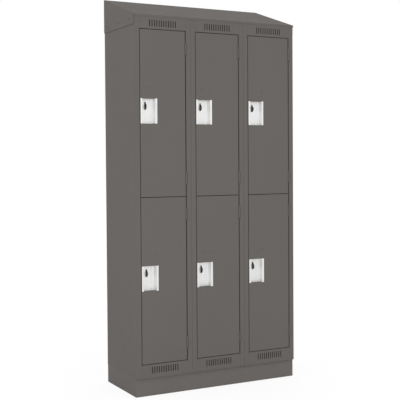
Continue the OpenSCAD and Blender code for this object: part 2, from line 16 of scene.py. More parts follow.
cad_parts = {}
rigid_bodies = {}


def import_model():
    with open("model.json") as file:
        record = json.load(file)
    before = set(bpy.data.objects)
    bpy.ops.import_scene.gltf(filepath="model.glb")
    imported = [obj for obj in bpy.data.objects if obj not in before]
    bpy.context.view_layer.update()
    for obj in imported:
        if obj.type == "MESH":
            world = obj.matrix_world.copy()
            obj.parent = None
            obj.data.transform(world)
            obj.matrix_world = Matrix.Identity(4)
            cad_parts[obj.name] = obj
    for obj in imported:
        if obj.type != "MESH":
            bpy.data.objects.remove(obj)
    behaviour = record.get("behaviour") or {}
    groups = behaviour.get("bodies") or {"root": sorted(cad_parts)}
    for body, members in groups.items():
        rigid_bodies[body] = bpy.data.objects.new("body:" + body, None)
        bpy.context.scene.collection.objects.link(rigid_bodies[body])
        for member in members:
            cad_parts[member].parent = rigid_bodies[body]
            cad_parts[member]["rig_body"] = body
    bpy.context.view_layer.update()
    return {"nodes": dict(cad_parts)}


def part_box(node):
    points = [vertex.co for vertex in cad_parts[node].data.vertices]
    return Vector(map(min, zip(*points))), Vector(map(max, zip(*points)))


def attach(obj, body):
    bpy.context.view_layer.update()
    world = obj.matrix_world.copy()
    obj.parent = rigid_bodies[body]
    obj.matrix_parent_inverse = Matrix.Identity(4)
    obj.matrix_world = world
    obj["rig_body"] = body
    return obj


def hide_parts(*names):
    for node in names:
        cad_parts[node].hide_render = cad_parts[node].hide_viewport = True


bl_info = {
    "name": "Two-tier Locker Looks",
    "version": (1, 0, 0),
    "blender": (4, 5, 0),
    "location": "View3D > Sidebar > Locker",
    "description": "Painted steel, bright pulls, finger lifts and a studio for a bank of two-tier lockers",
    "category": "Object",
}

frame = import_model()

MM = 0.001
COLUMNS = (1, 2, 3)
DOORS = [f"{column}_{tier}" for column in COLUMNS for tier in ("upper", "lower")]
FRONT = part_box("stile_1_left")[0].y
TURN = 2.0 * math.pi
# No wall hook reaches further out than this
WALL_HOOK_REACH = 30.0 * MM
# Points nearer than this are at one place
SAME_PLACE = 0.01 * MM
ALONG_Y = (0.0, 1.0, 0.0)
# Points around a turned piece
ROUND_STEPS = 24
# Faces that meet at more than this angle meet at a sharp edge
SHARP = math.radians(35.0)
# A front edge longer than this is a fold of its sheet
LEAST_FOLD = 50.0 * MM


# Sizes and colours that a user would change


class CameraSizes(bpy.types.PropertyGroup):
    """Where the camera stands and how it is turned"""

    bearing: FloatProperty(
        name="Bearing",
        description="Turn of the view from straight on, towards the right",
        default=math.radians(27.835),
        subtype="ANGLE",
    )
    tilt: FloatProperty(
        name="Tilt", description="Downward tilt of the view", default=math.radians(1.564), subtype="ANGLE"
    )
    roll: FloatProperty(
        name="Roll",
        description="Turn of the frame about the view",
        default=math.radians(-0.375),
        subtype="ANGLE",
    )
    place: FloatVectorProperty(
        name="Place",
        description="The lens, measured from the middle of the bank's front edge on the floor",
        default=(-2.1946, -3.9601, 1.1621),
        subtype="TRANSLATION",
        unit="LENGTH",
    )
    focal: FloatProperty(
        name="Focal length", description="In millimetres, on a 36 mm sensor", default=80.133
    )
    rise: FloatProperty(name="Rise", description="Vertical shift of the frame", default=-0.0401)


class PaintLooks(bpy.types.PropertyGroup):
    """The powder coat of the body, frame and doors"""

    colour: FloatVectorProperty(
        name="Colour", description="Warm grey of the coat", default=(0.1528, 0.1411, 0.1326), subtype="COLOR"
    )
    roughness: FloatProperty(
        name="Roughness", description="How matt the coat is", default=0.55, min=0.0, max=1.0
    )
    peel: FloatProperty(
        name="Peel", description="Spacing of the coat's orange peel", default=1.6 * MM, unit="LENGTH"
    )
    scuff_height: FloatProperty(
        name="Scuff height", description="How high shoes have marked the coat", default=0.16, unit="LENGTH"
    )


class SteelLooks(bpy.types.PropertyGroup):
    """The bright pulls and the zinc-plated fittings"""

    bright: FloatVectorProperty(
        name="Bright steel", description="Colour of the pulls", default=(0.955, 0.955, 0.95), subtype="COLOR"
    )
    zinc: FloatVectorProperty(
        name="Zinc",
        description="Colour of hooks, strikes and pins",
        default=(0.52, 0.53, 0.54),
        subtype="COLOR",
    )


class SheetSizes(bpy.types.PropertyGroup):
    """Rounding of the folded sheets"""

    fold: FloatProperty(
        name="Fold", description="Outer radius of the long front folds", default=1.0 * MM, unit="LENGTH"
    )
    edge: FloatProperty(
        name="Edge", description="Rounding of cut edges", default=0.3 * MM, unit="LENGTH"
    )


class PullSizes(bpy.types.PropertyGroup):
    """The formed sheet of a recessed pull"""

    sheet: FloatProperty(
        name="Sheet", description="Thickness of the pull", default=1.0 * MM, unit="LENGTH"
    )
    lip: FloatProperty(name="Lip", description="Width of a side lip", default=9.0 * MM, unit="LENGTH")
    run: FloatProperty(
        name="Wall run", description="Sideways run of a sloping wall", default=5.0 * MM, unit="LENGTH"
    )
    lip_bend: FloatProperty(
        name="Lip bend", description="Radius where a lip turns into its wall", default=1.5 * MM, unit="LENGTH"
    )
    deep_bend: FloatProperty(
        name="Deep bend", description="Radius where a wall meets the back", default=9.0 * MM, unit="LENGTH"
    )
    slot_width: FloatProperty(
        name="Slot width", description="Width of the slot", default=8.0 * MM, unit="LENGTH"
    )
    slot_height: FloatProperty(
        name="Slot height", description="Height of the slot", default=38.0 * MM, unit="LENGTH"
    )
    slot_drop: FloatProperty(
        name="Slot drop",
        description="Distance of the slot below the pull's top",
        default=17.0 * MM,
        unit="LENGTH",
    )
    slot_inset: FloatProperty(
        name="Slot inset",
        description="Distance of the slot from the latch side",
        default=33.5 * MM,
        unit="LENGTH",
    )


class LiftSizes(bpy.types.PropertyGroup):
    """The moulded finger lift"""

    thickness: FloatProperty(
        name="Thickness", description="Thickness of the tab and its plate", default=5.0 * MM, unit="LENGTH"
    )
    rounding: FloatProperty(
        name="Rounding", description="Radius of the moulded edges", default=1.1 * MM, unit="LENGTH"
    )
    plate_rounding: FloatProperty(
        name="Plate rounding", description="Radius of the plate's edges", default=0.66 * MM, unit="LENGTH"
    )
    tip: FloatProperty(
        name="Tip", description="Depth of the tab's oval tip", default=14.0 * MM, unit="LENGTH"
    )
    travel: FloatProperty(
        name="Travel", description="Upward travel of the lift", default=6.0 * MM, unit="LENGTH"
    )
    clearance: FloatProperty(
        name="Clearance", description="Room around the lift", default=0.3 * MM, unit="LENGTH"
    )
    flange: FloatProperty(
        name="Flange", description="Reach of the plate past the slot's sides", default=5.0 * MM, unit="LENGTH"
    )
    foot: FloatProperty(
        name="Foot", description="Reach of the plate below the slot", default=6.0 * MM, unit="LENGTH"
    )
    nose: FloatProperty(name="Nose", description="Height of the nose", default=12.0 * MM, unit="LENGTH")


class HookSizes(bpy.types.PropertyGroup):
    """The coat hooks' prongs"""

    prong: FloatProperty(
        name="Prong", description="Diameter of a prong", default=5.0 * MM, unit="LENGTH"
    )
    ball: FloatProperty(
        name="Ball", description="Diameter of the ball on a prong", default=9.0 * MM, unit="LENGTH"
    )
    plate: FloatProperty(
        name="Plate", description="Thickness of a hook's plate", default=2.0 * MM, unit="LENGTH"
    )
    ceiling_plate: FloatProperty(
        name="Ceiling plate", description="Length of a ceiling hook's plate", default=34.0 * MM, unit="LENGTH"
    )
    corner: FloatProperty(
        name="Corner", description="Radius of a plate's corners", default=4.0 * MM, unit="LENGTH"
    )
    edge: FloatProperty(
        name="Edge", description="Radius of a plate's edges", default=0.6 * MM, unit="LENGTH"
    )
    rise: FloatProperty(
        name="Rise", description="Rise of a prong to its ball's centre", default=14.9 * MM, unit="LENGTH"
    )


class StudioLooks(bpy.types.PropertyGroup):
    """Light and floor of the plain studio"""

    ambient: FloatProperty(
        name="Ambient", description="Even light from all round", default=0.86, min=0.0
    )
    key: FloatProperty(
        name="Key", description="Power of the wide low lamp, in watts", default=26.0, min=0.0
    )
    floor: FloatVectorProperty(
        name="Floor", description="Colour of the pale floor", default=(0.8, 0.8, 0.8), subtype="COLOR"
    )
    floor_white: FloatProperty(
        name="Floor white", description="Brightness of the floor's plain share", default=1.09, min=0.0
    )
    floor_shade: FloatProperty(
        name="Floor shade",
        description="Share of the floor's own shading that shows",
        default=0.2,
        min=0.0,
        max=1.0,
    )


class LockerLooks(bpy.types.PropertyGroup):
    """Everything that a user would change"""

    camera: PointerProperty(type=CameraSizes)
    paint: PointerProperty(type=PaintLooks)
    steel: PointerProperty(type=SteelLooks)
    sheet: PointerProperty(type=SheetSizes)
    pull: PointerProperty(type=PullSizes)
    lift: PointerProperty(type=LiftSizes)
    hook: PointerProperty(type=HookSizes)
    studio: PointerProperty(type=StudioLooks)


def looks():
    return bpy.context.scene.locker


# Materials


class Shader:
    """A material whose nodes are added and linked by name"""

    def __init__(self, name):
        self.material = bpy.data.materials.new(name)
        self.material.use_nodes = True
        self.tree = self.material.node_tree
        self.tree.nodes.clear()
        self.output = self.add("ShaderNodeOutputMaterial")
        self.surface = self.add("ShaderNodeBsdfPrincipled")
        self.link(self.surface, "BSDF", self.output, "Surface")
        self.coordinates = self.add("ShaderNodeTexCoord")

    def add(self, kind, **values):
        node = self.tree.nodes.new(kind)
        for name, value in values.items():
            setattr(node, name, value)
        return node

    def link(self, source, out, target, into):
        self.tree.links.new(source.outputs[out], target.inputs[into])

    def noise(self, scale, detail=3.0, roughness=0.5):
        """Fractal noise over object coordinates in metres, multiplied by a scale for each axis"""
        mapping = self.add("ShaderNodeMapping")
        mapping.inputs["Scale"].default_value = scale
        self.link(self.coordinates, "Object", mapping, "Vector")
        texture = self.add("ShaderNodeTexNoise")
        texture.inputs["Scale"].default_value = 1.0
        texture.inputs["Detail"].default_value = detail
        texture.inputs["Roughness"].default_value = roughness
        self.link(mapping, "Vector", texture, "Vector")
        return texture

    def ranged(self, source, out, low, high, start=0.3, end=0.7):
        """A value drawn out from the range start to end to the range low to high"""
        ranged = self.add("ShaderNodeMapRange")
        for name, value in (("From Min", start), ("From Max", end), ("To Min", low), ("To Max", high)):
            ranged.inputs[name].default_value = value
        self.link(source, out, ranged, "Value")
        return ranged

    def combined(self, operation, first, first_out, second, second_out):
        combined = self.add("ShaderNodeMath", operation=operation)
        self.link(first, first_out, combined, 0)
        self.link(second, second_out, combined, 1)
        return combined

    def tinted(self, colour, *factors):
        """The base colour, multiplied by each factor in turn"""
        product = factors[0]
        for factor in factors[1:]:
            product = self.combined("MULTIPLY", product, 0, factor, 0)
        scaled = self.add("ShaderNodeVectorMath", operation="SCALE")
        scaled.inputs[0].default_value = colour
        self.link(product, 0, scaled, "Scale")
        self.link(scaled, "Vector", self.surface, "Base Color")

    def bumped(self, source, out, height, strength=1.0):
        bump = self.add("ShaderNodeBump")
        bump.inputs["Distance"].default_value = height
        bump.inputs["Strength"].default_value = strength
        self.link(source, out, bump, "Height")
        self.link(bump, "Normal", self.surface, "Normal")

    def set(self, **values):
        for name, value in values.items():
            self.surface.inputs[name.replace("_", " ")].default_value = value


def shaded(colour, factor):
    return tuple(min(1.0, part * factor) for part in colour)


def powder_coat(name, shade=1.0, shine=0.06):
    """Satin powder coat: fine orange peel, faint clouding, a drifting roughness and scuffs near the floor"""
    paint = looks().paint
    coat = Shader(name)
    clouds = coat.ranged(coat.noise((2.5, 2.5, 1.6), detail=2.0), 0, 0.985, 1.015)
    mottle = coat.ranged(coat.noise((420.0, 420.0, 420.0), detail=2.0), 0, 0.985, 1.015)
    height = coat.add("ShaderNodeSeparateXYZ")
    coat.link(coat.coordinates, "Object", height, "Vector")
    low = coat.ranged(height, "Z", 1.0, 0.0, start=0.0, end=paint.scuff_height)
    marks = coat.ranged(coat.noise((26.0, 26.0, 150.0), detail=5.0, roughness=0.65), 0, 0.0, 1.0, 0.56, 0.66)
    scuffs = coat.combined("MULTIPLY", low, 0, marks, 0)
    # shade scales the paint's colour; for the hood's slope it is painted shade and for the base it is painted
    # light
    coat.tinted(shaded(paint.colour, shade), clouds, mottle, coat.ranged(scuffs, 0, 1.0, 1.09, 0.0, 1.0))
    drift = coat.ranged(coat.noise((9.0, 9.0, 9.0)), 0, paint.roughness - 0.03, paint.roughness + 0.03)
    worn = coat.ranged(scuffs, 0, 0.0, 0.12, 0.0, 1.0)
    coat.link(coat.combined("ADD", drift, 0, worn, 0), 0, coat.surface, "Roughness")
    peel = 1.0 / paint.peel
    coat.bumped(coat.noise((peel, peel, peel), detail=2.0), 0, 0.05 * MM, 0.35)
    coat.set(Specular_IOR_Level=shine)
    return coat.material


def brushed_steel(name, colour, roughness):
    """Bright satin steel with a fine upright grain, broad upright bands and faint finger marks. Its grain
    scatters a share of the light, so it isn't a full metal."""
    steel = Shader(name)
    grain = steel.noise((2200.0, 2200.0, 16.0), detail=3.0, roughness=0.6)
    bands = steel.ranged(steel.noise((130.0, 60.0, 0.8), detail=1.0), 0, 0.965, 1.02)
    steel.tinted(colour, steel.ranged(grain, 0, 0.985, 1.01), bands)
    marks = steel.ranged(steel.noise((45.0, 45.0, 45.0), detail=4.0, roughness=0.6), 0, 0.0, 0.08)
    rough = steel.ranged(grain, 0, roughness - 0.04, roughness + 0.04)
    steel.link(steel.combined("ADD", rough, 0, marks, 0), 0, steel.surface, "Roughness")
    steel.bumped(grain, 0, 0.015 * MM, 0.25)
    steel.set(Metallic=0.7)
    return steel.material


def zinc_plate(name, colour):
    """Zinc-plated steel with a soft clouding and small dull spots"""
    zinc = Shader(name)
    cloud = zinc.noise((160.0, 160.0, 160.0), detail=4.0)
    spots = zinc.noise((900.0, 900.0, 900.0), detail=2.0)
    zinc.tinted(colour, zinc.ranged(cloud, 0, 0.88, 1.1), zinc.ranged(spots, 0, 1.0, 0.9, 0.6, 0.75))
    zinc.link(zinc.ranged(cloud, 0, 0.3, 0.44), 0, zinc.surface, "Roughness")
    zinc.bumped(spots, 0, 0.02 * MM, 0.2)
    zinc.set(Metallic=1.0)
    return zinc.material


def moulded_black(name, colour, roughness, shine=0.12):
    """Dark moulded material with a fine grain, rubbed smoother in patches"""
    plastic = Shader(name)
    grain = plastic.noise((1500.0, 1500.0, 1500.0), detail=2.0)
    rubbed = plastic.noise((120.0, 120.0, 60.0), detail=3.0)
    plastic.tinted(colour, plastic.ranged(grain, 0, 0.85, 1.2), plastic.ranged(rubbed, 0, 0.9, 1.25))
    rough = plastic.ranged(rubbed, 0, roughness + 0.06, roughness - 0.1)
    plastic.link(rough, 0, plastic.surface, "Roughness")
    plastic.bumped(grain, 0, 0.04 * MM, 0.4)
    plastic.set(Specular_IOR_Level=shine)
    return plastic.material


def finish(piece, material):
    """Gives a piece one material over all its faces"""
    piece.data.materials.clear()
    piece.data.materials.append(material)


# Reading the frame


def solids(node):
    """The points of each separate solid of a node. Corners at one place share a label, and each triangle
    passes its lowest label on to its corners until no label changes."""
    mesh = frame["nodes"][node].data
    points = np.empty(3 * len(mesh.vertices))
    mesh.vertices.foreach_get("co", points)
    points = points.reshape(-1, 3)
    mesh.calc_loop_triangles()
    triangles = np.empty(3 * len(mesh.loop_triangles), dtype=int)
    mesh.loop_triangles.foreach_get("vertices", triangles)
    places, shared = np.unique(np.round(points / SAME_PLACE).astype(int), axis=0, return_inverse=True)
    shared = shared.ravel()
    triangles = shared[triangles].reshape(-1, 3)
    labels = np.arange(len(places))
    settled = False
    while not settled:
        lowest = labels.copy()
        np.minimum.at(lowest, triangles.ravel(), np.repeat(labels[triangles].min(axis=1), 3))
        lowest = lowest[lowest]
        settled = np.array_equal(lowest, labels)
        labels = lowest
    return [points[labels[shared] == label] for label in np.unique(labels)]


def flat_sheets(piece):
    """Turns the normals at each corner to its largest faces, so that flat sheets shade flat by small bends"""
    normals = piece.modifiers.new("flat sheets", "WEIGHTED_NORMAL")
    normals.mode = "FACE_AREA"
    normals.weight = 100
    normals.keep_sharp = True


def dress(piece, node, material):
    """Puts a new piece in the place of a node: on its body and a material"""
    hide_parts(node)
    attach(piece, frame["nodes"][node]["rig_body"])
    finish(piece, material)


# Copies of the frame's sheets with folded edges


def folded_copy(node, name, material, along="", edge=None):
    """A node's sheet with rounded edges. Its corners are merged and its flat faces joined. Long front edges
    that run along one of the named axes are folds, and every other sharp edge gets the small edge radius."""
    sheet = looks().sheet
    edge = sheet.edge if edge is None else edge
    fold = sheet.fold if along else edge
    form = bmesh.new()
    form.from_mesh(frame["nodes"][node].data)
    bmesh.ops.remove_doubles(form, verts=form.verts, dist=SAME_PLACE)
    nearly_flat = math.radians(0.5)
    bmesh.ops.dissolve_limit(form, angle_limit=nearly_flat, verts=form.verts, edges=form.edges)
    front = min(corner.co.y for corner in form.verts)
    weights = form.edges.layers.float.new("bevel_weight_edge")
    for line in form.edges:
        if len(line.link_faces) != 2 or line.calc_face_angle(0.0) < SHARP:
            continue
        start, end = (corner.co for corner in line.verts)
        run = end - start
        folded = (
            run.length > LEAST_FOLD
            and max(start.y, end.y) < front + 0.1 * MM
            and any(abs(run["xyz".index(axis)]) > 0.99 * run.length for axis in along)
        )
        line[weights] = 1.0 if folded else edge / fold
    for face in form.faces:
        face.smooth = True
    mesh = bpy.data.meshes.new(name)
    form.to_mesh(mesh)
    form.free()
    piece = bpy.data.objects.new(name, mesh)
    bpy.context.scene.collection.objects.link(piece)
    bevel = piece.modifiers.new("edges", "BEVEL")
    bevel.width = fold
    bevel.segments = 3
    bevel.limit_method = "WEIGHT"
    bevel.use_clamp_overlap = False
    flat_sheets(piece)
    dress(piece, node, material)
    return piece


# Surfaces


def mesh_piece(name, parts):
    """One smooth mesh from parts, each a set of rings or a sheet as points and faces"""
    points = np.concatenate([part[0] for part in parts])
    starts = np.cumsum([0] + [len(part[0]) for part in parts[:-1]])
    faces = [tuple(np.asarray(face) + start) for part, start in zip(parts, starts) for face in part[1]]
    mesh = bpy.data.meshes.new(name)
    mesh.from_pydata(points.tolist(), [], faces)
    mesh.shade_smooth()
    mesh.set_sharp_from_angle(angle=SHARP)
    piece = bpy.data.objects.new(name, mesh)
    bpy.context.scene.collection.objects.link(piece)
    return piece


def closed_rings(rings):
    """A closed skin over an array of rings (ring, step, xyz): a quad joins each pair of neighbouring steps
    on two neighbouring rings, and the first and last rings are filled"""
    count, steps = rings.shape[:2]
    ring, step = np.meshgrid(np.arange(count - 1), np.arange(steps), indexing="ij")
    ahead = (step + 1) % steps
    this, following = ring * steps, (ring + 1) * steps
    quads = np.stack([this + step, this + ahead, following + ahead, following + step], -1)
    first = np.arange(steps)[::-1]
    last = (count - 1) * steps + np.arange(steps)
    return rings.reshape(-1, 3), [*quads.reshape(-1, 4), first, last]


def arc(before, corner, after, radius, steps):
    """Points of the arc that rounds a corner. Its centre is on the corner's bisector, at the radius over the
    sine of half the corner's angle, and it turns evenly from one tangent point to the other."""
    before, corner, after = (np.array(point, dtype=float) for point in (before, corner, after))
    first = (before - corner) / np.linalg.norm(before - corner)
    second = (after - corner) / np.linalg.norm(after - corner)
    half = math.acos(float(np.clip(first @ second, -1.0, 1.0))) / 2.0
    middle = (first + second) / np.linalg.norm(first + second)
    centre = corner + middle * radius / math.sin(half)
    start = corner + first * radius / math.tan(half) - centre
    stop = corner + second * radius / math.tan(half) - centre
    begin = math.atan2(start[1], start[0])
    swing = math.atan2(start[0] * stop[1] - start[1] * stop[0], float(start @ stop))
    angles = begin + swing * np.linspace(0.0, 1.0, steps + 1)
    return centre + radius * np.stack([np.cos(angles), np.sin(angles)], -1)


def rounded_outline(corners, radii, steps=6):
    """A closed outline whose corners are each rounded by their own radius"""
    count = len(corners)
    return np.concatenate(
        [arc(corners[i - 1], corners[i], corners[(i + 1) % count], radii[i], steps) for i in range(count)]
    )


def unit(vectors):
    return vectors / np.linalg.norm(vectors, axis=1, keepdims=True)


def moulding(outline, depth, rounding, steps=4):
    """Rings of a flat moulding. The outline is carried through the depth. Near each face it follows a quarter
    circle: drawn in along its normal by the rounding times 1 - sin of an angle from 0 to 90 degrees, and
    lifted off the face by the rounding times 1 - cos of it."""
    ahead = unit(np.roll(outline, -1, axis=0) - outline)
    behind = unit(outline - np.roll(outline, 1, axis=0))
    tangent = unit(ahead + behind)
    outward = np.stack([tangent[:, 1], -tangent[:, 0]], -1)
    turn = np.linspace(0.0, math.pi / 2.0, steps + 1)
    draw = rounding * (1.0 - np.sin(turn))
    lift = rounding * (1.0 - np.cos(turn))
    draws = np.concatenate([draw, draw[::-1]])
    lifts = np.concatenate([lift, depth - lift[::-1]])
    flat = outline[None] - draws[:, None, None] * outward[None]
    return np.concatenate([flat, np.broadcast_to(lifts[:, None, None], (*flat.shape[:2], 1))], -1)


def tube(path, radii, across, steps=20):
    """Rings along a flat path: at each point a circle of that point's radius, in the plane of the across
    direction and its cross product with the tangent"""
    tangent = unit(np.gradient(path, axis=0))
    across = np.broadcast_to(np.array(across, dtype=float), path.shape)
    third = np.cross(tangent, across)
    angles = np.linspace(0.0, TURN, steps, endpoint=False)
    circle = np.cos(angles)[None, :, None] * across[:, None] + np.sin(angles)[None, :, None] * third[:, None]
    return path[:, None] + np.asarray(radii)[:, None, None] * circle


def ball_ended(length, radius, ball, steps=9):
    """Distances along a prong and its radii: even to the ball, then the ball's half chord at each distance"""
    reach = math.sqrt(ball**2 - radius**2)
    turn = np.linspace(math.acos(reach / ball), math.pi, steps)
    straight = np.linspace(0.0, length - reach, 6)[:-1]
    along = np.concatenate([straight, length - ball * np.cos(turn)])
    wide = np.concatenate([np.full(len(straight), radius), ball * np.sin(turn)])
    return along, np.maximum(wide, 0.02 * MM)


# Pieces


class LOCKER_OT_stage(bpy.types.Operator):
    """Camera, floor, world and lamp of the plain studio"""

    bl_idname = "locker.stage"
    bl_label = "Set the Stage"

    def execute(self, context):
        self.stand_camera(context)
        self.lay_floor(context)
        self.light(context)
        context.scene.view_settings.view_transform = "Standard"
        return {"FINISHED"}

    def stand_camera(self, context):
        """Turns the camera by its bearing, then its tilt, then its roll"""
        sizes = looks().camera
        bearing, tilt = sizes.bearing, sizes.tilt
        forward = Vector(
            (math.sin(bearing) * math.cos(tilt), math.cos(bearing) * math.cos(tilt), -math.sin(tilt))
        )
        right = Vector((math.cos(bearing), -math.sin(bearing), 0.0))
        upward = right.cross(forward)
        turned_right = math.cos(sizes.roll) * right + math.sin(sizes.roll) * upward
        turned_up = math.cos(sizes.roll) * upward - math.sin(sizes.roll) * right
        lens = bpy.data.cameras.new("view")
        lens.lens = sizes.focal
        lens.sensor_width = 36.0
        lens.shift_y = sizes.rise
        lens.clip_end = 100.0
        camera = bpy.data.objects.new("view", lens)
        turn = Matrix((turned_right, turned_up, -forward)).transposed().to_4x4()
        camera.matrix_world = Matrix.Translation(Vector(sizes.place) + Vector((0.0, FRONT, 0.0))) @ turn
        context.scene.collection.objects.link(camera)
        context.scene.camera = camera

    def lay_floor(self, context):
        """A pale floor, mostly shown as plain white, with a share of its own shading and shadow"""
        studio = looks().studio
        reach = 30.0
        corners = [(-reach, -reach, 0), (reach, -reach, 0), (reach, reach, 0), (-reach, reach, 0)]
        mesh = bpy.data.meshes.new("floor")
        mesh.from_pydata(corners, [], [(0, 1, 2, 3)])
        floor = bpy.data.objects.new("floor", mesh)
        context.scene.collection.objects.link(floor)
        shade = Shader("pale_floor")
        shade.set(Base_Color=(*studio.floor, 1.0), Roughness=0.9, Specular_IOR_Level=0.1)
        plain = shade.add("ShaderNodeEmission")
        plain.inputs["Strength"].default_value = studio.floor_white
        seen = shade.add("ShaderNodeLightPath")
        share = shade.ranged(seen, "Is Camera Ray", 0.0, 1.0 - studio.floor_shade, 0.0, 1.0)
        mixed = shade.add("ShaderNodeMixShader")
        shade.link(share, 0, mixed, 0)
        shade.link(shade.surface, "BSDF", mixed, 1)
        shade.link(plain, "Emission", mixed, 2)
        shade.link(mixed, "Shader", shade.output, "Surface")
        finish(floor, shade.material)

    def light(self, context):
        """An even world, white to the camera and in reflections, and a wide low lamp that isn't reflected"""
        studio = looks().studio
        world = bpy.data.worlds.new("studio")
        context.scene.world = world
        world.use_nodes = True
        tree = world.node_tree
        tree.nodes.clear()
        output = tree.nodes.new("ShaderNodeOutputWorld")
        even = tree.nodes.new("ShaderNodeBackground")
        white = tree.nodes.new("ShaderNodeBackground")
        for background, strength in ((even, studio.ambient), (white, 1.0)):
            background.inputs["Color"].default_value = (1.0, 1.0, 1.0, 1.0)
            background.inputs["Strength"].default_value = strength
        path = tree.nodes.new("ShaderNodeLightPath")
        seen = tree.nodes.new("ShaderNodeMath")
        seen.operation = "MAXIMUM"
        chosen = tree.nodes.new("ShaderNodeMixShader")
        tree.links.new(path.outputs["Is Camera Ray"], seen.inputs[0])
        tree.links.new(path.outputs["Is Glossy Ray"], seen.inputs[1])
        tree.links.new(seen.outputs["Value"], chosen.inputs["Fac"])
        tree.links.new(even.outputs["Background"], chosen.inputs[1])
        tree.links.new(white.outputs["Background"], chosen.inputs[2])
        tree.links.new(chosen.outputs["Shader"], output.inputs["Surface"])
        lamp = bpy.data.lights.new("key", "AREA")
        lamp.shape = "RECTANGLE"
        lamp.size = 4.0
        lamp.size_y = 1.3
        lamp.energy = studio.key
        holder = bpy.data.objects.new("key", lamp)
        holder.location = (-1.8, -3.4, 0.8)
        target = Vector((0.0, 0.0, 0.5))
        aim = target - holder.location
        holder.rotation_euler = aim.to_track_quat("-Z", "Y").to_euler()
        holder.visible_glossy = False
        context.scene.collection.objects.link(holder)


class LOCKER_OT_body(bpy.types.Operator):
    """Side panels, partitions, back, top, bottom and shelves"""

    bl_idname = "locker.body"
    bl_label = "Make the Body"

    def execute(self, context):
        coat = powder_coat("body_coat")
        panels = ["side_panel_left", "side_panel_right", "partition_left", "partition_right"]
        panels += ["back_panel", "top_panel", "bottom_panel"] + [f"shelf_{column}" for column in COLUMNS]
        for panel in panels:
            folded_copy(panel, panel + "_sheet", coat)
        return {"FINISHED"}


class LOCKER_OT_front_frame(bpy.types.Operator):
    """Stiles and vented rails"""

    bl_idname = "locker.front_frame"
    bl_label = "Make the Front Frame"

    def execute(self, context):
        coat = powder_coat("frame_coat")
        for column in COLUMNS:
            for side in ("left", "right"):
                stile = f"stile_{column}_{side}"
                folded_copy(stile, stile + "_sheet", coat, along="z")
            for rail in (f"header_{column}", f"footer_{column}"):
                folded_copy(rail, rail + "_sheet", coat, along="x")
        return {"FINISHED"}


class LOCKER_OT_hood(bpy.types.Operator):
    """Sloped top, its end caps and its back"""

    bl_idname = "locker.hood"
    bl_label = "Make the Hood"

    def execute(self, context):
        # The slope's coat is the body paint darkened a little: painted shade that evens out the extra light
        # the slope gets from above
        slope = powder_coat("slope_coat_painted_shade", shade=0.985, shine=0.02)
        folded_copy("slope_sheet", "slope_cover", slope, along="x")
        coat = powder_coat("hood_coat")
        for piece in ("hood_end_left", "hood_end_right", "hood_back"):
            folded_copy(piece, piece + "_sheet", coat)
        return {"FINISHED"}


class LOCKER_OT_base(bpy.types.Operator):
    """Closed base"""

    bl_idname = "locker.base"
    bl_label = "Make the Base"

    def execute(self, context):
        # The base's coats are the body paint lightened: painted light that makes up for the shade near the
        # floor, more on the front than on the ends and back
        front = powder_coat("base_front_coat_painted_light", shade=1.12)
        folded_copy("base_front", "base_front_channel", front, along="x")
        coat = powder_coat("base_coat_painted_light", shade=1.07)
        for piece in ("base_back", "base_end_left", "base_end_right"):
            folded_copy(piece, piece + "_channel", coat)
        return {"FINISHED"}


class LOCKER_OT_doors(bpy.types.Operator):
    """Door pans with folded edges"""

    bl_idname = "locker.doors"
    bl_label = "Make the Doors"

    def execute(self, context):
        coat = powder_coat("door_coat")
        for door in DOORS:
            folded_copy("door_" + door, f"door_{door}_pan", coat, along="xz")
        return {"FINISHED"}


class LOCKER_OT_hinges(bpy.types.Operator):
    """Hinge leaves and their pins"""

    bl_idname = "locker.hinges"
    bl_label = "Make the Hinges"

    def execute(self, context):
        coat = powder_coat("hinge_coat", shade=0.97)
        folded_copy("frame_hinge_leaves", "frame_leaves", coat)
        for door in DOORS:
            folded_copy("door_hinge_leaves_" + door, "door_leaves_" + door, coat)
        plate = zinc_plate("pin_zinc", looks().steel.zinc)
        folded_copy("hinge_pins", "pins", plate, edge=0.5 * MM)
        return {"FINISHED"}


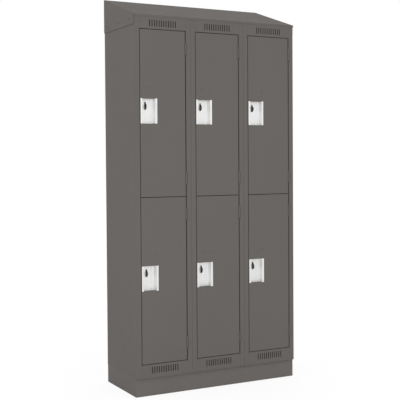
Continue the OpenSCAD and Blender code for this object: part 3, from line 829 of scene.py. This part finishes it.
class LOCKER_OT_pulls(bpy.types.Operator):
    """Bright recessed pulls, each one sheet formed over its profile and slotted for its lift"""

    bl_idname = "locker.pulls"
    bl_label = "Make the Pulls"

    def execute(self, context):
        bright = brushed_steel("bright_steel", looks().steel.bright, roughness=0.4)
        for door in DOORS:
            low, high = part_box("pull_" + door)
            piece = mesh_piece("formed_pull_" + door, [self.sheet(low, high)])
            wall = piece.modifiers.new("sheet", "SOLIDIFY")
            wall.thickness = looks().pull.sheet
            wall.offset = 1.0
            wall.use_even_offset = True
            edges = piece.modifiers.new("edges", "BEVEL")
            edges.width = looks().sheet.edge
            edges.segments = 3
            edges.limit_method = "ANGLE"
            edges.angle_limit = math.radians(50.0)
            flat_sheets(piece)
            dress(piece, "pull_" + door, bright)
        return {"FINISHED"}

    def sheet(self, low, high):
        """The rear face of the sheet. Its width and depth follow the profile: lip, bend, wall, deep bend and
        back, and the same mirrored. Its height runs evenly up, and the cell at the slot is left open."""
        sizes = looks().pull
        width = high.x - low.x
        height = high.z - low.z
        deep = high.y - low.y - sizes.sheet
        corners = [
            (0.0, 0.0),
            (sizes.lip, 0.0),
            (sizes.lip + sizes.run, deep),
            (width - sizes.lip - sizes.run, deep),
            (width - sizes.lip, 0.0),
            (width, 0.0),
        ]
        lip_steps, deep_steps = 5, 14
        slot_x = sizes.slot_inset + sizes.slot_width * np.array([-0.5, 0.5])
        profile = np.concatenate(
            [
                [corners[0]],
                arc(*corners[0:3], sizes.lip_bend, lip_steps),
                arc(*corners[1:4], sizes.deep_bend, deep_steps),
                np.stack([slot_x, np.full(2, deep)], -1),
                arc(*corners[2:5], sizes.deep_bend, deep_steps),
                arc(*corners[3:6], sizes.lip_bend, lip_steps),
                [corners[5]],
            ]
        )
        slot_low = height - sizes.slot_drop - sizes.slot_height
        heights = np.array([0.0, slot_low, slot_low + sizes.slot_height, height])
        across, up = len(profile), len(heights)
        points = np.empty((across, up, 3))
        points[..., 0] = low.x + profile[:, None, 0]
        points[..., 1] = low.y + sizes.sheet + profile[:, None, 1]
        points[..., 2] = low.z + heights[None, :]
        column, row = np.meshgrid(np.arange(across - 1), np.arange(up - 1), indexing="ij")
        corner = column * up + row
        quads = np.stack([corner, corner + up, corner + up + 1, corner + 1], -1)
        off_slot = np.abs(profile[:, 0] - slot_x[0]) + np.abs(profile[:, 1] - deep)
        slot_column = int(np.argmin(off_slot))
        open_cell = (column == slot_column) & (row == 1)
        return points.reshape(-1, 3), list(quads[~open_cell])


class LOCKER_OT_lifts(bpy.types.Operator):
    """Black finger lifts, each a moulded tab on a plate with a nose"""

    bl_idname = "locker.lifts"
    bl_label = "Make the Finger Lifts"

    def execute(self, context):
        black = moulded_black("lift_black", colour=(0.036, 0.036, 0.037), roughness=0.48)
        for door in DOORS:
            low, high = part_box("lift_" + door)
            piece = mesh_piece("finger_lift_" + door, [self.plate(low, high), self.tab(low, high)])
            flat_sheets(piece)
            dress(piece, "lift_" + door, black)
        return {"FINISHED"}

    def plate(self, low, high):
        """An angled outline, upright with a nose to the latch side, carried through the plate's thickness"""
        sizes = looks().lift
        foot_corner, nose_corner = 1.5 * MM, 2.0 * MM
        half = high.x - self.middle(high)
        left = high.x - 2.0 * half
        nose = high.z - sizes.nose
        outline = rounded_outline(
            [(left, low.z), (high.x, low.z), (high.x, high.z), (low.x, high.z), (low.x, nose), (left, nose)],
            [foot_corner, foot_corner, nose_corner, nose_corner, nose_corner, foot_corner],
        )
        rings = moulding(outline, sizes.thickness, sizes.plate_rounding)
        upright = np.stack([rings[..., 0], high.y - rings[..., 2], rings[..., 1]], -1)
        return closed_rings(upright)

    def tab(self, low, high):
        """A D-shaped outline carried through the tab's thickness. Its tip is half an oval as high as the
        tab's root: the tip's depth times cos and half the height times sin, over a half turn."""
        sizes = looks().lift
        height = looks().pull.slot_height - sizes.travel - 2.0 * sizes.clearance
        middle_z = low.z + sizes.foot + sizes.clearance + height / 2.0
        turn = np.linspace(-math.pi / 2.0, -1.5 * math.pi, 31)
        tip = np.stack(
            [low.y + sizes.tip + sizes.tip * np.cos(turn), middle_z + height / 2.0 * np.sin(turn)], -1
        )
        rear = high.y - 0.5 * sizes.thickness
        outline = np.concatenate([[(rear, tip[0, 1])], tip, [(rear, tip[-1, 1])]])
        rings = moulding(outline[::-1], sizes.thickness, sizes.rounding)
        middle = self.middle(high)
        placed = np.stack([middle - sizes.thickness / 2.0 + rings[..., 2], rings[..., 0], rings[..., 1]], -1)
        return closed_rings(placed[:, ::-1])

    def middle(self, high):
        """The slot's middle: the plate reaches a flange's width past the slot's edge"""
        return high.x - looks().pull.slot_width / 2.0 - looks().lift.flange


class LOCKER_OT_latches(bpy.types.Operator):
    """Strikes on the frame and rubber buffers on the door stops"""

    bl_idname = "locker.latches"
    bl_label = "Make the Strikes and Buffers"

    def execute(self, context):
        plate = zinc_plate("strike_zinc", looks().steel.zinc)
        folded_copy("strikes", "strike_brackets", plate, edge=0.5 * MM)
        rubber = moulded_black("buffer_rubber", colour=(0.02, 0.02, 0.021), roughness=0.78)
        piece = mesh_piece("rubber_buffers", [self.buffer(points) for points in solids("door_buffers")])
        dress(piece, "door_buffers", rubber)
        return {"FINISHED"}

    def buffer(self, points):
        """A round pad turned about Y. Its outline is in shares of its radius and depth: a foot, a slightly
        drawn-in side and a dome, a quarter oval 0.62 wide around 0.3 and 0.38 deep."""
        low, high = points.min(0), points.max(0)
        centre = (low + high) / 2.0
        radius = (high[0] - low[0]) / 2.0
        depth = high[1] - low[1]
        turn = np.linspace(0.0, math.pi / 2.0, 7)
        side = [(0.02, 0.0), (1.0, 0.0), (0.96, 0.3)]
        dome = np.stack([0.3 + 0.62 * np.cos(turn), 0.62 + 0.38 * np.sin(turn)], -1)
        shape = np.concatenate([side, dome, [(0.02, 1.0)]])
        angles = np.linspace(0.0, TURN, ROUND_STEPS, endpoint=False)
        rings = np.empty((len(shape), ROUND_STEPS, 3))
        rings[..., 0] = centre[0] + radius * shape[:, None, 0] * np.cos(angles)
        rings[..., 1] = high[1] - depth * shape[:, None, 1]
        rings[..., 2] = centre[2] + radius * shape[:, None, 0] * np.sin(angles)
        return closed_rings(rings)


class LOCKER_OT_coat_hooks(bpy.types.Operator):
    """Double ceiling hooks and single wall hooks with ball ends"""

    bl_idname = "locker.coat_hooks"
    bl_label = "Make the Coat Hooks"

    def execute(self, context):
        parts = []
        for points in solids("coat_hooks"):
            low, high = points.min(0), points.max(0)
            if high[0] - low[0] > WALL_HOOK_REACH:
                parts += self.ceiling_hook(low, high)
            else:
                parts += self.wall_hook(low, high, points)
        piece = mesh_piece("hooks", parts)
        flat_sheets(piece)
        dress(piece, "coat_hooks", zinc_plate("hook_zinc", looks().steel.zinc))
        return {"FINISHED"}

    def ceiling_hook(self, low, high):
        """A plate under the ceiling, a stem and one bar that sweeps from ball to ball as a parabola"""
        sizes = looks().hook
        centre = (low + high) / 2.0
        radius, ball = sizes.prong / 2.0, sizes.ball / 2.0
        reach = (high[0] - low[0]) / 2.0 - ball
        bottom = low[2] + radius
        half_width = (high[1] - low[1]) / 2.0
        plate = self.plate((centre[0], centre[1]), sizes.ceiling_plate / 2.0, half_width)
        plate = np.stack([plate[..., 0], plate[..., 1], high[2] - sizes.plate + plate[..., 2]], -1)
        drop = np.linspace(high[2] - sizes.plate / 2.0, bottom, 9)
        stem_path = np.stack([np.full(len(drop), centre[0]), np.full(len(drop), centre[1]), drop], -1)
        stem = tube(stem_path, np.full(len(drop), radius), ALONG_Y)
        along, wide = ball_ended(reach, radius, ball)
        side = np.clip(along / reach, 0.0, None)
        rise = sizes.rise * side**2
        right = np.stack([centre[0] + along, np.full(len(along), centre[1]), bottom + rise], -1)
        left = right[::-1] * (-1.0, 1.0, 1.0) + (2.0 * centre[0], 0.0, 0.0)
        bar = tube(np.concatenate([left[:-1], right]), np.concatenate([wide[::-1][:-1], wide]), ALONG_Y)
        return [closed_rings(plate), closed_rings(stem), closed_rings(bar)]

    def wall_hook(self, low, high, points):
        """A plate on the wall and one prong that leaves it level and curves up to its ball. The prong's line
        is a quadratic curve whose knee is level with its start, 0.55 of the way out."""
        sizes = looks().hook
        radius, ball = sizes.prong / 2.0, sizes.ball / 2.0
        wide = points[np.abs(points[:, 1] - low[1]) < SAME_PLACE]
        outward = 1.0 if wide[:, 0].mean() < (low[0] + high[0]) / 2.0 else -1.0
        wall = low[0] if outward > 0 else high[0]
        middle_y = (low[1] + high[1]) / 2.0
        plate_low, plate_high = wide[:, 2].min(), wide[:, 2].max()
        centre_z = (plate_low + plate_high) / 2.0
        flat = self.plate((middle_y, centre_z), (high[1] - low[1]) / 2.0, (plate_high - plate_low) / 2.0)
        depth = flat[..., 2] if outward > 0 else -flat[..., 2]
        plate = np.stack([wall + depth, flat[..., 0], flat[..., 1]], -1)
        tip_x = (high[0] if outward > 0 else low[0]) - outward * ball
        start = np.array([wall + outward * sizes.plate / 2.0, centre_z - (plate_high - plate_low) / 4.0])
        tip = np.array([tip_x, start[1] + sizes.rise])
        knee = np.array([start[0] + outward * 0.55 * abs(tip_x - start[0]), start[1]])
        length = np.linalg.norm(tip - start)
        along, radii = ball_ended(length, radius, ball)
        share = np.minimum(along / length, 1.0)[:, None]
        curve = (1.0 - share) ** 2 * start + 2.0 * share * (1.0 - share) * knee + share**2 * tip
        beyond = np.maximum(along - length, 0.0)[:, None] * (tip - knee) / np.linalg.norm(tip - knee)
        curve = curve + beyond
        path = np.stack([curve[:, 0], np.full(len(curve), middle_y), curve[:, 1]], -1)
        prong = tube(path, radii, ALONG_Y)
        skins = closed_rings(plate[:, ::-1] if outward < 0 else plate)
        return [skins, closed_rings(prong)]

    def plate(self, centre, half_width, half_height):
        """A flat plate with round corners and softened edges, around a centre"""
        sizes = looks().hook
        corners = [
            (centre[0] - half_width, centre[1] - half_height),
            (centre[0] + half_width, centre[1] - half_height),
            (centre[0] + half_width, centre[1] + half_height),
            (centre[0] - half_width, centre[1] + half_height),
        ]
        return moulding(rounded_outline(corners, [sizes.corner] * 4), sizes.plate, sizes.edge)


class LOCKER_OT_screws(bpy.types.Operator):
    """Painted socket screws of the hood, back and base"""

    bl_idname = "locker.screws"
    bl_label = "Make the Screws"

    def execute(self, context):
        piece = mesh_piece("socket_screws", [self.screw(points) for points in solids("screws")])
        dress(piece, "screws", powder_coat("screw_coat", shade=0.93))
        return {"FINISHED"}

    def screw(self, points):
        """A screw turned about its long axis: a domed head with a six-sided socket over a plain shank. The
        socket's radius at an angle is its apothem over the cosine of the angle from the nearest flat's
        middle. The dome's rise and width are shares of the head's height and radius."""
        low, high = points.min(0), points.max(0)
        axis = int(np.argmax(high - low))
        first, second = (axis + 1) % 3, (axis + 2) % 3
        centre = (low + high) / 2.0
        radius = (high[first] - low[first]) / 2.0
        spread = np.hypot(points[:, first] - centre[first], points[:, second] - centre[second])
        seat = points[spread > 0.98 * radius, axis].mean()
        top = high[axis] if high[axis] - seat < seat - low[axis] else low[axis]
        tip = low[axis] + high[axis] - top
        head = top - seat
        shank = 0.5 * radius
        apothem = 0.36 * radius
        angles = np.linspace(0.0, TURN, ROUND_STEPS, endpoint=False)
        flat = (angles + TURN / 12.0) % (TURN / 6.0) - TURN / 12.0
        socket = apothem / np.cos(flat)
        round_ring = np.ones(ROUND_STEPS)
        rise = np.array([1.0, 0.97, 0.86, 0.62, 0.3, 0.0])
        width = np.array([0.5, 0.64, 0.8, 0.92, 0.98, 1.0])
        radii = np.concatenate(
            [[0.05 * socket], [socket], [socket]]
            + [[share * radius * round_ring] for share in width]
            + [[shank * round_ring], [shank * round_ring], [0.6 * shank * round_ring]]
        )
        socket_heights = [seat + 0.25 * head, seat + 0.3 * head, seat + head]
        shank_heights = [seat, tip + 0.1 * (seat - tip), tip]
        heights = np.concatenate([socket_heights, seat + rise * head, shank_heights])
        rings = np.empty((len(radii), ROUND_STEPS, 3))
        rings[..., axis] = heights[:, None]
        rings[..., first] = centre[first] + radii * np.cos(angles)
        rings[..., second] = centre[second] + radii * np.sin(angles)
        return closed_rings(rings if head < 0 else rings[:, ::-1])


class LOCKER_PT_looks(bpy.types.Panel):
    """Lists the locker's pieces and their settings"""

    bl_idname = "LOCKER_PT_looks"
    bl_label = "Locker"
    bl_space_type = "VIEW_3D"
    bl_region_type = "UI"
    bl_category = "Locker"

    def draw(self, context):
        for piece in PIECES:
            self.layout.operator(piece.bl_idname)
        for group in ("camera", "paint", "steel", "sheet", "pull", "lift", "hook", "studio"):
            settings = getattr(looks(), group)
            box = self.layout.box()
            for name in settings.bl_rna.properties.keys():
                if name not in ("rna_type", "name"):
                    box.prop(settings, name)


PIECES = (
    LOCKER_OT_stage,
    LOCKER_OT_body,
    LOCKER_OT_front_frame,
    LOCKER_OT_hood,
    LOCKER_OT_base,
    LOCKER_OT_doors,
    LOCKER_OT_hinges,
    LOCKER_OT_pulls,
    LOCKER_OT_lifts,
    LOCKER_OT_latches,
    LOCKER_OT_coat_hooks,
    LOCKER_OT_screws,
)
GROUPS = (
    CameraSizes,
    PaintLooks,
    SteelLooks,
    SheetSizes,
    PullSizes,
    LiftSizes,
    HookSizes,
    StudioLooks,
    LockerLooks,
)


def register():
    for kind in (*GROUPS, *PIECES, LOCKER_PT_looks):
        bpy.utils.register_class(kind)
    bpy.types.Scene.locker = PointerProperty(type=LockerLooks)


def unregister():
    del bpy.types.Scene.locker
    for kind in reversed((*GROUPS, *PIECES, LOCKER_PT_looks)):
        bpy.utils.unregister_class(kind)


def main():
    register()
    bpy.ops.locker.stage()
    bpy.ops.locker.body()
    bpy.ops.locker.front_frame()
    bpy.ops.locker.hood()
    bpy.ops.locker.base()
    bpy.ops.locker.doors()
    bpy.ops.locker.hinges()
    bpy.ops.locker.pulls()
    bpy.ops.locker.lifts()
    bpy.ops.locker.latches()
    bpy.ops.locker.coat_hooks()
    bpy.ops.locker.screws()


if __name__ == "__main__":
    main()
